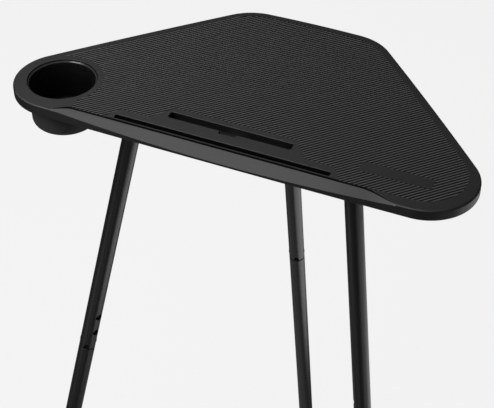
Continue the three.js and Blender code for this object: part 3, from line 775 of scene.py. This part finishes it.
# Painted light: the rib crests are painted far lighter than the tray's plastic as a painted
# highlight, and the grooves between them near black as painted shade; the crests are glossier too.
crest_painted_light_share = grip_finish.height_share(tray_top - crest_foot, tray_top - crest_top)
crest_painted_highlight = grip_finish.mottle(400, (0.096, 0.096, 0.0975), (0.138, 0.138, 0.1395), 3)
grip_finish.set({"Base Color": grip_finish.blend(crest_painted_light_share, (0.003, 0.003, 0.003), crest_painted_highlight)})
grip_finish.set({"Roughness": 0.9 - crest_painted_light_share * 0.48})
grip_finish.coat(grip)
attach(grip, "desk_top")


# Cup holder: a separate moulded cup that drops through the tray's left end. Its round
# lip stops a little below the tray's top, and its flange is screwed up underneath.
cup_wall = 0.0025
cup_lip = -0.00175
lip_wall = 0.0019
lip_slope = 50
lip_round = 0.0016
lip_edge = 0.0004
cup_bottom = -0.060
cup_round = 0.009
cup_taper = 0.0008
cup_flange = 0.0525
cup_flange_thickness = 0.0026
cup_flange_edge = 0.0008
shiny_depth = 0.008
matt_depth = 0.014

cup_outer = cup_hole - seat_gap
flange_bottom = flange_top - cup_flange_thickness
base_centre = (cup_outer - cup_taper - cup_round, cup_bottom + cup_round)
edge_centre = (cup_flange - cup_flange_edge, flange_bottom + cup_flange_edge)
cup_profile = [(0, cup_bottom)]
cup_profile += arc(base_centre, cup_round, -90, 0, 8)
cup_profile += [(cup_outer, flange_bottom)]
cup_profile += arc(edge_centre, cup_flange_edge, -90, 0, 3)
cup_profile += [(cup_flange, flange_top), (cup_outer, flange_top)]
cup_profile += arc((cup_outer - lip_edge, cup_lip - lip_edge), lip_edge, 0, 90 + lip_slope)
slope = math.radians(lip_slope)
slope_run = cup_profile[-1][0] - (cup_outer - lip_wall + lip_round * (1 - math.sin(slope)))
round_level = cup_profile[-1][1] - slope_run * math.tan(slope) - lip_round * math.cos(slope)
round_centre = (cup_outer - lip_wall + lip_round, round_level)
cup_profile += arc(round_centre, lip_round, 90 + lip_slope, 180, 8)
cup_profile += arc(base_centre, cup_round - cup_wall, 0, -90, 8)
cup_profile += [(0, cup_bottom + cup_wall)]
cup = solid(turned(cup_profile, cup_facets), "cup_holder_cup", tray_place @ cup_place)
smooth(cup)
cup_finish = Finish("cup_plastic")
below_lip = cup_finish.height_share(tray_top - shiny_depth, tray_top - matt_depth)
cup_finish.set({"Roughness": below_lip * 0.24 + 0.2})
cup_plain = cup_finish.mottle(30, (0.075, 0.075, 0.076), (0.090, 0.090, 0.091))
# Painted shade: the cup's colour falls to black inside it, where shade falls.
cup_open = cup_finish.openness(0.08)
cup_open_squared = cup_open * cup_open
cup_open_for_painted_shade = cup_open_squared * cup_open_squared
cup_finish.set({"Base Color": cup_finish.blend(cup_open_for_painted_shade, (0, 0, 0), cup_plain)})
cup_finish.relief(cup_finish.speckle(2200, 2), 0.00002)
cup_finish.coat(cup)
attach(cup, "desk_top")
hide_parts("cup_holder")


# Leg sockets: black nylon blocks under the tray. Each has a flat flange with four
# screws, a slanted barrel that takes the leg's top end, and four small gussets.
flange_thickness = 0.004
flange_round = 0.008
flange_edge = 0.0008
flange_bevel = 0.3
barrel_radius = 0.016
barrel_top = -0.016
barrel_mouth = 0.064
barrel_lip = 0.001
barrel_shoulder = 0.031
gusset_thickness = 0.0035
gusset_reach = 0.009
ceiling_height = 0.1
tube_radius = 0.0111
screw_edge = 0.008
screw_radius = 0.0022
screw_reach = 0.03
tube_facets = 72
screw_facets = 24

socket_finish = Finish("black_nylon", Roughness=0.5)
socket_colour = socket_finish.mottle(60, (0.018, 0.018, 0.019), (0.026, 0.026, 0.027))
socket_finish.set({"Base Color": socket_colour})
socket_finish.relief(socket_finish.speckle(1800, 3), 0.00003)


def leg_place(leg):
    """The leg's own frame: Z up the leg from the tray's top, X towards its height holes."""
    up = Vector((-leg["lean"][0], -leg["lean"][1], 1)).normalized()
    turn = math.radians(leg["holes"])
    across = up.cross(Vector((math.cos(turn), math.sin(turn), 0))).normalized()
    holes = across.cross(up)
    place = Matrix((holes, across, up)).transposed().to_4x4()
    place.translation = Vector((leg["x"], leg["y"] + wide_edge, tray_top))
    return place


def socket_flange(name, centre, bottom):
    """The flat flange, with its lower edge bevelled."""
    bm = bmesh.new()
    loops = []
    for grow, level in (
        (-flange_edge, bottom),
        (-flange_edge * flange_bevel, bottom + flange_edge * flange_bevel),
        (0, bottom + flange_edge),
        (0, flange_top),
    ):
        corners = bar_corners(flange_length + 2 * grow, flange_width + 2 * grow, centre)
        loops.append(draw_outline(bm, corners, [flange_round + grow] * 4, level))
    stacked(bm, loops)
    return solid(bm, name, tray_place)


def leg_socket(name, leg):
    """Flange, barrel and gussets joined, cut level on top, then bored for tube and screws."""
    centre = flange_centre(leg)
    bottom = flange_top - flange_thickness
    block = socket_flange(name, centre, bottom)
    place = leg_place(leg)
    lip_centre = (barrel_radius - barrel_lip, -barrel_mouth + barrel_lip)
    profile = [(0, -barrel_mouth)] + arc(lip_centre, barrel_lip, -90, 0, 4)
    profile += [(barrel_radius, barrel_top), (0, barrel_top)]
    carve(block, solid(turned(profile, tube_facets), "barrel", place), "UNION")

    span = barrel_radius + gusset_reach
    side = -gusset_thickness / 2
    outline = [
        (0, side, bottom + flange_edge), (0, side, bottom - span),
        (barrel_radius, side, bottom - span), (span, side, bottom + flange_edge),
    ]
    for quarter in range(4):
        turn = Matrix.Rotation(math.pi / 2 * quarter, 4, "Z")
        gusset = extruded(outline, (0, gusset_thickness, 0))
        gusset_place = tray_place @ Matrix.Translation((*centre, 0)) @ turn
        carve(block, solid(gusset, "gusset", gusset_place), "UNION")
    ceiling = (1, 1, tray_top + ceiling_height)
    carve(block, brick("ceiling", (-1, -1, tray_top + flange_top), ceiling))

    bore = tube_radius + seat_gap
    profile = [(0, -barrel_mouth - overrun), (bore + barrel_lip, -barrel_mouth - overrun)]
    profile += arc((bore + barrel_lip, -barrel_mouth + barrel_lip), -barrel_lip, 90, 0, 4)
    profile += [(bore, -barrel_shoulder), (0, -barrel_shoulder)]
    carve(block, solid(turned(profile, tube_facets), "bore", place))
    for spot in bar_corners(flange_length - 2 * screw_edge, flange_width - 2 * screw_edge, centre):
        hole = rod(screw_radius, -screw_reach, 0, screw_facets)
        carve(block, solid(hole, "screw_hole", tray_place @ Matrix.Translation((*spot, 0))))
    return block


for name, leg in legs.items():
    socket = leg_socket(f"{name}_socket_block", leg)
    smooth(socket)
    socket_finish.coat(socket)
    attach(socket, "desk_top")
    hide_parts(f"{name}_leg_socket")


# Upper leg tubes: black powder-coated steel tube. Near the lower end are two holes for
# the snap button, two small ones for the bush's lugs, and two notches in the rim.
tube_wall = 0.0015
tube_bore = tube_radius - tube_wall
tube_edge = 0.0004
tube_corner = 35
hole_rise = 0.0293
hole_pitch = 0.027
button_radius = 0.0038
button_play = 0.0011
bush_flange = 0.0016
lug_radius = 0.0024
lug_rise = 0.0105
lug_turn = 40
rim_notch = 0.0036
rim_notch_rise = 0.003
rim_notch_turn = -52
pin_facets = 48

tube_finish = Finish("black_powder_coat", IOR=2.1)
tube_open = tube_finish.openness(0.009)
tube_finish.set({"Roughness": 1 - tube_open * tube_open * 0.66})
tube_colour = tube_finish.mottle(40, (0.0015, 0.0016, 0.0017), (0.003, 0.0031, 0.0033))
tube_finish.set({"Base Color": tube_colour})
tube_finish.relief(tube_finish.speckle(900, 3), 0.00006)


def across_leg(leg, height, degrees):
    """Lays a piece that was made upright across the leg, pointing out of its wall."""
    lying = Matrix.Rotation(math.radians(degrees), 4, "Z") @ Matrix.Rotation(math.pi / 2, 4, "Y")
    return leg_place(leg) @ Matrix.Translation((0, 0, height)) @ lying


def bored(tube, leg, radius, height, degrees):
    """Bores from the leg's axis out through the tube's wall on one side."""
    drill = rod(radius, 0, tube_radius + overrun, pin_facets)
    carve(tube, solid(drill, "drill", across_leg(leg, height, degrees)))


def ring_outside(low, high, edge):
    """The outside of a tube between two levels, with both edges rounded."""
    profile = arc((tube_radius - edge, low + edge), edge, -90, 0, 3)
    return profile + arc((tube_radius - edge, high - edge), edge, 0, 90, 3)


def leg_tube(name, leg, low, high):
    profile = [(tube_bore, low)] + ring_outside(low, high, tube_edge) + [(tube_bore, high)]
    return solid(turned(profile, tube_facets, closed=True), name, leg_place(leg))


for name, leg in legs.items():
    joint = -leg["joint"]
    rim = joint + bush_flange / 2 + seat_gap
    tube = leg_tube(f"{name}_leg_upper", leg, rim, -barrel_shoulder - seat_gap)
    for rise in (hole_rise, hole_rise + hole_pitch):
        bored(tube, leg, button_radius + button_play, joint + rise, 0)
    for half_turn in (0, 180):
        bored(tube, leg, lug_radius + seat_gap, joint + lug_rise, lug_turn + half_turn)
        bored(tube, leg, rim_notch, rim, rim_notch_turn + half_turn)
        bored(tube, leg, rim_notch, rim + rim_notch_rise, rim_notch_turn + half_turn)
    smooth(tube, tube_corner)
    tube_finish.coat(tube)
    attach(tube, "desk_top")
    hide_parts(f"{name}_upper_tube")


# Bushes: a thin black nylon ring between the upper and the lower tube. Its sleeve goes
# up inside the upper tube, where two lugs snap into the small holes.
slider_radius = 0.0082
bush_sleeve = 0.017
bush_edge = 0.0003
lug_proud = 0.00035
lug_edge = 0.0006
lug_facets = 32

bush_finish = Finish("bush_nylon", Roughness=0.6)
bush_colour = bush_finish.mottle(90, (0.003, 0.003, 0.003), (0.006, 0.006, 0.006))
bush_finish.set({"Base Color": bush_colour})
bush_finish.relief(bush_finish.speckle(2500, 2), 0.00002)

for name, leg in legs.items():
    joint = -leg["joint"]
    high = joint + bush_flange / 2
    bore = slider_radius + seat_gap
    sleeve = tube_bore - seat_gap
    profile = [(bore, joint - bush_flange / 2)]
    profile += ring_outside(joint - bush_flange / 2, high, bush_edge)
    profile += [(sleeve, high), (sleeve, high + bush_sleeve), (bore, high + bush_sleeve)]
    ring = turned(profile, tube_facets, closed=True)
    bush = solid(ring, f"{name}_bush_ring", leg_place(leg))
    root = (bore + sleeve) / 2
    tip = tube_radius + lug_proud
    lug_profile = [(0, root), (lug_radius, root)]
    lug_profile += arc((lug_radius - lug_edge, tip - lug_edge), lug_edge, 0, 90, 3) + [(0, tip)]
    for half_turn in (0, 180):
        lug_place = across_leg(leg, joint + lug_rise, lug_turn + half_turn)
        carve(bush, solid(turned(lug_profile, lug_facets), "lug", lug_place), "UNION")
    smooth(bush, tube_corner)
    bush_finish.coat(bush)
    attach(bush, "desk_top")
    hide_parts(f"{name}_tube_bush")


# Lower leg tubes: the same coated steel tube as above. Each begins below its bush, moves
# up and down with the slider tube inside it, and stands in a rubber foot.
foot_sole = 0.008


def floor_distance(leg):
    """How far down the leg's axis the floor lies, from the tray's top."""
    return tray_top * math.hypot(*leg["lean"], 1)


for name, leg in legs.items():
    low = -floor_distance(leg) + foot_sole + seat_gap
    high = -leg["joint"] - bush_flange / 2 - seat_gap
    tube = leg_tube(f"{name}_leg_lower", leg, low, high)
    smooth(tube, tube_corner)
    tube_finish.coat(tube)
    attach(tube, f"{name}_lower_leg")
    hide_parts(f"{name}_lower_tube")


# Slider tubes: black phosphated steel tube that joins the two halves of a leg. It is fixed
# in the lower tube by a sleeve, and has a hole for the snap button.
slider_wall = 0.0012
slider_rise = 0.0813
slider_seat = 0.055
slider_facets = 64

dark_steel_finish = Finish("black_phosphate_steel", Specular_IOR_Level=0.25)
blotches = dark_steel_finish.speckle(120, 4)
steel_colour = dark_steel_finish.blend(blotches, (0.003, 0.003, 0.0032), (0.007, 0.007, 0.0075))
dark_steel_finish.set({"Base Color": steel_colour})
dark_steel_finish.set({"Roughness": blotches * 0.2 + 0.5})
dark_steel_finish.relief(dark_steel_finish.speckle(3000, 2), 0.00001)

for name, leg in legs.items():
    joint = -leg["joint"]
    inner = slider_radius - slider_wall
    low, high = joint - slider_seat, joint + slider_rise
    profile = [(inner, low), (slider_radius, low), (slider_radius, high), (inner, high)]
    slider = turned(profile, slider_facets, closed=True)
    slider = solid(slider, f"{name}_slider", leg_place(leg))
    bored(slider, leg, button_radius + seat_gap, joint + hole_rise + hole_pitch, 0)
    smooth(slider, tube_corner)
    dark_steel_finish.coat(slider)
    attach(slider, f"{name}_lower_leg")
    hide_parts(f"{name}_slider_tube")


# Snap buttons: black steel pins with a domed tip. A folded spring clip inside the slider
# tube pushes each one out through the holes, and its collar stops it there.
button_stem = 0.0063
button_collar = 0.0045
button_collar_thickness = 0.0012
button_dome = 0.0014
dome_parts = 6

button_finish = Finish("black_oxide_steel", Roughness=0.6, Specular_IOR_Level=0.25)
button_colour = button_finish.mottle(300, (0.004, 0.004, 0.0042), (0.009, 0.009, 0.0092))
button_finish.set({"Base Color": button_colour})

for name, leg in legs.items():
    tip = tube_bore - seat_gap
    base = tip - button_stem
    back = base - button_collar_thickness
    profile = [(0, back), (button_collar, back), (button_collar, base), (button_radius, base)]
    for part in range(dome_parts + 1):
        angle = math.pi / 2 * part / dome_parts
        level = tip - button_dome + button_dome * math.sin(angle)
        profile.append((button_radius * math.cos(angle), level))
    button_place = across_leg(leg, -leg["joint"] + hole_rise + hole_pitch, 0)
    button = solid(turned(profile, pin_facets), f"{name}_button_pin", button_place)
    smooth(button, tube_corner)
    button_finish.coat(button)
    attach(button, f"{name}_button")
    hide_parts(f"{name}_snap_button")


# Rubber feet: moulded black rubber caps with three fine grooves, pushed over the lower
# ends of the legs and cut flat where they stand on the floor.
foot_radius = 0.0137
foot_height = 0.034
foot_edge = 0.0018
foot_grooves = (0.014, 0.018, 0.022)
foot_groove_radius = 0.0007

rubber_finish = Finish("foot_rubber_black", Roughness=0.78)
rubber_colour = rubber_finish.mottle(70, (0.010, 0.010, 0.010), (0.017, 0.017, 0.017))
rubber_finish.set({"Base Color": rubber_colour})
rubber_finish.relief(rubber_finish.speckle(1500, 3), 0.00004)

for name, leg in legs.items():
    ground = -floor_distance(leg)
    high = ground + foot_height
    low = ground - foot_radius * math.hypot(*leg["lean"]) - overrun
    bore = tube_radius + seat_gap
    profile = [(0, low), (foot_radius, low)]
    for groove in foot_grooves:
        profile += arc((foot_radius, ground + groove), foot_groove_radius, -90, -270, 6)
    profile += arc((foot_radius - foot_edge, high - foot_edge), foot_edge, 0, 90)
    profile += [(bore, high), (bore, ground + foot_sole), (0, ground + foot_sole)]
    foot = turned(profile, tube_facets)
    bmesh.ops.transform(foot, matrix=leg_place(leg), verts=foot.verts)
    everything = foot.verts[:] + foot.edges[:] + foot.faces[:]
    cut = bmesh.ops.bisect_plane(
        foot, geom=everything, dist=1e-6, plane_co=(0, 0, 0), plane_no=(0, 0, 1), clear_inner=True
    )
    rim_edges = [item for item in cut["geom_cut"] if isinstance(item, bmesh.types.BMEdge)]
    bmesh.ops.contextual_create(foot, geom=rim_edges)
    bmesh.ops.recalc_face_normals(foot, faces=foot.faces)
    foot = solid(foot, f"{name}_foot_cap")
    smooth(foot, tube_corner)
    rubber_finish.coat(foot)
    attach(foot, f"{name}_lower_leg")
    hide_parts(f"{name}_rubber_foot")


# Small fixings keep the shapes of their solids: black steel screws, brass inserts in the
# sockets, zinc-plated studs and spring clips, and nylon plugs, sleeves and guide caps
# inside the tubes.
zinc_finish = Finish("zinc_plate", Metallic=1.0)
streaks = zinc_finish.speckle(120, 4)
zinc_colour = zinc_finish.blend(streaks, (0.46, 0.47, 0.48), (0.60, 0.61, 0.62))
zinc_finish.set({"Base Color": zinc_colour})
zinc_finish.set({"Roughness": streaks * 0.12 + 0.24})
zinc_finish.relief(zinc_finish.speckle(3000, 2), 0.00001)

brass_finish = Finish("turned_brass", Metallic=1.0, Roughness=0.3)
brass_colour = brass_finish.mottle(200, (0.50, 0.35, 0.13), (0.62, 0.44, 0.18))
brass_finish.set({"Base Color": brass_colour})

fixings = {
    "screw": button_finish,
    "nut": brass_finish,
    "stud": zinc_finish,
    "clip": zinc_finish,
    "plug": socket_finish,
    "sleeve": socket_finish,
    "guide": socket_finish,
}
for name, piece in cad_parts.items():
    for word, finish in fixings.items():
        if word in name:
            finish.coat(piece)

low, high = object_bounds()
